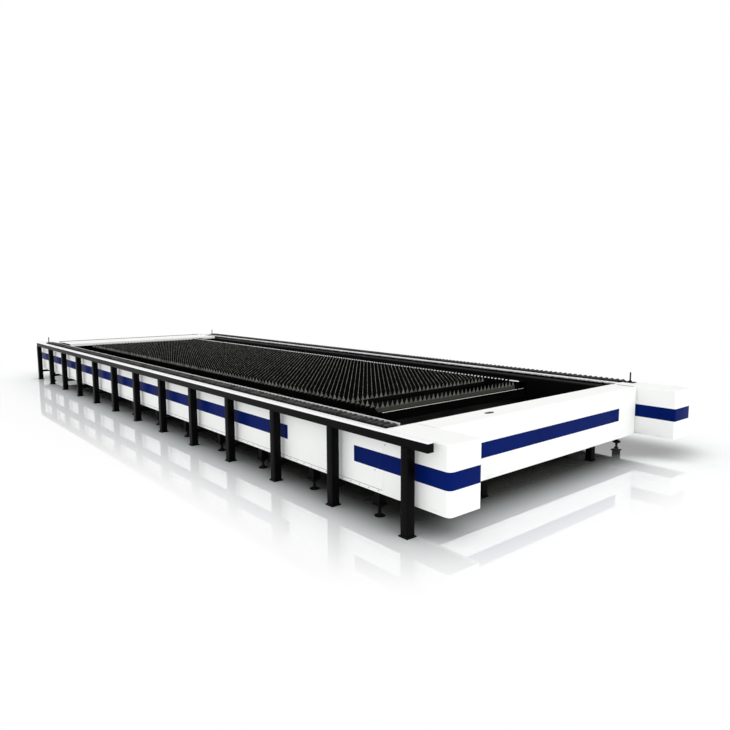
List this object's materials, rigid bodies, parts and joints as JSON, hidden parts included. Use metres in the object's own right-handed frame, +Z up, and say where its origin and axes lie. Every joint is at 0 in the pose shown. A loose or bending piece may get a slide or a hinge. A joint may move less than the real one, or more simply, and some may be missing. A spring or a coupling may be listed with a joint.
{
  "type": "laser cutting machine bed",
  "caption": "Long machine bed with sheet covers, pleated bellows on both beams, a toothed slat table, an outer rail on posts and levelling feet.",
  "frame": {"origin": "floor under the middle of the whole footprint", "axes": "+X along the bed towards its front end, +Y across the bed away from the outer rail, +Z up"},
  "size_m": [15.4, 5.21, 1.114],
  "materials": {
    "beam_paint": "satin",
    "cover_paint": "semi-gloss",
    "black_paint": "gloss",
    "rail_steel": "ground",
    "bellows_fabric": "coated",
    "slat_steel": "matt",
    "seal_rubber": "matt",
    "foot_steel": "zinc plated"
  },
  "bodies": {
    "bed": {"bed_cross_members": "beam_paint", "bed_legs": "beam_paint", "bellows_edge_strips": "rail_steel", "front_cover": "cover_paint", "front_cross_beam": "beam_paint", "front_left_cap": "cover_paint", "front_right_cap": "cover_paint", "gear_racks": "rail_steel", "guide_rails": "rail_steel", "left_bed_beam": "beam_paint", "left_bellows": "bellows_fabric", "left_side_cover": "cover_paint", "pallet_cross_bars": "slat_steel", "pallet_end_bars": "slat_steel", "pallet_side_channel": "slat_steel", "pallet_side_tubes": "slat_steel", "pallet_tracks": "beam_paint", "post_arms": "black_paint", "post_base_plates": "black_paint", "rail_posts": "black_paint", "rail_running_strip": "rail_steel", "rear_cover": "cover_paint", "rear_cross_beam": "beam_paint", "rear_edge_trim": "seal_rubber", "rear_left_cap": "cover_paint", "rear_right_cap": "cover_paint", "right_bed_beam": "beam_paint", "right_bellows": "bellows_fabric", "right_side_cover": "cover_paint", "scrap_chutes": "slat_steel", "side_rail": "black_paint", "slat_combs": "slat_steel", "stop_pins": "rail_steel", "stop_plates": "black_paint", "support_slats": "slat_steel", "track_stanchions": "beam_paint"},
    "left_levelling_foot_01": {"left_levelling_foot_01": "foot_steel"},
    "left_levelling_foot_02": {"left_levelling_foot_02": "foot_steel"},
    "left_levelling_foot_03": {"left_levelling_foot_03": "foot_steel"},
    "left_levelling_foot_04": {"left_levelling_foot_04": "foot_steel"},
    "left_levelling_foot_05": {"left_levelling_foot_05": "foot_steel"},
    "left_levelling_foot_06": {"left_levelling_foot_06": "foot_steel"},
    "left_levelling_foot_07": {"left_levelling_foot_07": "foot_steel"},
    "left_levelling_foot_08": {"left_levelling_foot_08": "foot_steel"},
    "left_levelling_foot_09": {"left_levelling_foot_09": "foot_steel"},
    "left_levelling_foot_10": {"left_levelling_foot_10": "foot_steel"},
    "left_levelling_foot_11": {"left_levelling_foot_11": "foot_steel"},
    "left_levelling_foot_12": {"left_levelling_foot_12": "foot_steel"},
    "right_levelling_foot_01": {"right_levelling_foot_01": "foot_steel"},
    "right_levelling_foot_02": {"right_levelling_foot_02": "foot_steel"},
    "right_levelling_foot_03": {"right_levelling_foot_03": "foot_steel"},
    "right_levelling_foot_04": {"right_levelling_foot_04": "foot_steel"},
    "right_levelling_foot_05": {"right_levelling_foot_05": "foot_steel"},
    "right_levelling_foot_06": {"right_levelling_foot_06": "foot_steel"},
    "right_levelling_foot_07": {"right_levelling_foot_07": "foot_steel"},
    "right_levelling_foot_08": {"right_levelling_foot_08": "foot_steel"},
    "right_levelling_foot_09": {"right_levelling_foot_09": "foot_steel"},
    "right_levelling_foot_10": {"right_levelling_foot_10": "foot_steel"},
    "right_levelling_foot_11": {"right_levelling_foot_11": "foot_steel"},
    "right_levelling_foot_12": {"right_levelling_foot_12": "foot_steel"}
  },
  "joints": [
    {"name": "left_levelling_foot_01_slide", "type": "slide", "parent": "bed", "child": "left_levelling_foot_01", "axis": [0, 0, 1], "range_m": [-0.04, 0]},
    {"name": "left_levelling_foot_02_slide", "type": "slide", "parent": "bed", "child": "left_levelling_foot_02", "axis": [0, 0, 1], "range_m": [-0.04, 0]},
    {"name": "left_levelling_foot_03_slide", "type": "slide", "parent": "bed", "child": "left_levelling_foot_03", "axis": [0, 0, 1], "range_m": [-0.04, 0]},
    {"name": "left_levelling_foot_04_slide", "type": "slide", "parent": "bed", "child": "left_levelling_foot_04", "axis": [0, 0, 1], "range_m": [-0.04, 0]},
    {"name": "left_levelling_foot_05_slide", "type": "slide", "parent": "bed", "child": "left_levelling_foot_05", "axis": [0, 0, 1], "range_m": [-0.04, 0]},
    {"name": "left_levelling_foot_06_slide", "type": "slide", "parent": "bed", "child": "left_levelling_foot_06", "axis": [0, 0, 1], "range_m": [-0.04, 0]},
    {"name": "left_levelling_foot_07_slide", "type": "slide", "parent": "bed", "child": "left_levelling_foot_07", "axis": [0, 0, 1], "range_m": [-0.04, 0]},
    {"name": "left_levelling_foot_08_slide", "type": "slide", "parent": "bed", "child": "left_levelling_foot_08", "axis": [0, 0, 1], "range_m": [-0.04, 0]},
    {"name": "left_levelling_foot_09_slide", "type": "slide", "parent": "bed", "child": "left_levelling_foot_09", "axis": [0, 0, 1], "range_m": [-0.04, 0]},
    {"name": "left_levelling_foot_10_slide", "type": "slide", "parent": "bed", "child": "left_levelling_foot_10", "axis": [0, 0, 1], "range_m": [-0.04, 0]},
    {"name": "left_levelling_foot_11_slide", "type": "slide", "parent": "bed", "child": "left_levelling_foot_11", "axis": [0, 0, 1], "range_m": [-0.04, 0]},
    {"name": "left_levelling_foot_12_slide", "type": "slide", "parent": "bed", "child": "left_levelling_foot_12", "axis": [0, 0, 1], "range_m": [-0.04, 0]},
    {"name": "right_levelling_foot_01_slide", "type": "slide", "parent": "bed", "child": "right_levelling_foot_01", "axis": [0, 0, 1], "range_m": [-0.04, 0]},
    {"name": "right_levelling_foot_02_slide", "type": "slide", "parent": "bed", "child": "right_levelling_foot_02", "axis": [0, 0, 1], "range_m": [-0.04, 0]},
    {"name": "right_levelling_foot_03_slide", "type": "slide", "parent": "bed", "child": "right_levelling_foot_03", "axis": [0, 0, 1], "range_m": [-0.04, 0]},
    {"name": "right_levelling_foot_04_slide", "type": "slide", "parent": "bed", "child": "right_levelling_foot_04", "axis": [0, 0, 1], "range_m": [-0.04, 0]},
    {"name": "right_levelling_foot_05_slide", "type": "slide", "parent": "bed", "child": "right_levelling_foot_05", "axis": [0, 0, 1], "range_m": [-0.04, 0]},
    {"name": "right_levelling_foot_06_slide", "type": "slide", "parent": "bed", "child": "right_levelling_foot_06", "axis": [0, 0, 1], "range_m": [-0.04, 0]},
    {"name": "right_levelling_foot_07_slide", "type": "slide", "parent": "bed", "child": "right_levelling_foot_07", "axis": [0, 0, 1], "range_m": [-0.04, 0]},
    {"name": "right_levelling_foot_08_slide", "type": "slide", "parent": "bed", "child": "right_levelling_foot_08", "axis": [0, 0, 1], "range_m": [-0.04, 0]},
    {"name": "right_levelling_foot_09_slide", "type": "slide", "parent": "bed", "child": "right_levelling_foot_09", "axis": [0, 0, 1], "range_m": [-0.04, 0]},
    {"name": "right_levelling_foot_10_slide", "type": "slide", "parent": "bed", "child": "right_levelling_foot_10", "axis": [0, 0, 1], "range_m": [-0.04, 0]},
    {"name": "right_levelling_foot_11_slide", "type": "slide", "parent": "bed", "child": "right_levelling_foot_11", "axis": [0, 0, 1], "range_m": [-0.04, 0]},
    {"name": "right_levelling_foot_12_slide", "type": "slide", "parent": "bed", "child": "right_levelling_foot_12", "axis": [0, 0, 1], "range_m": [-0.04, 0]}
  ]
}
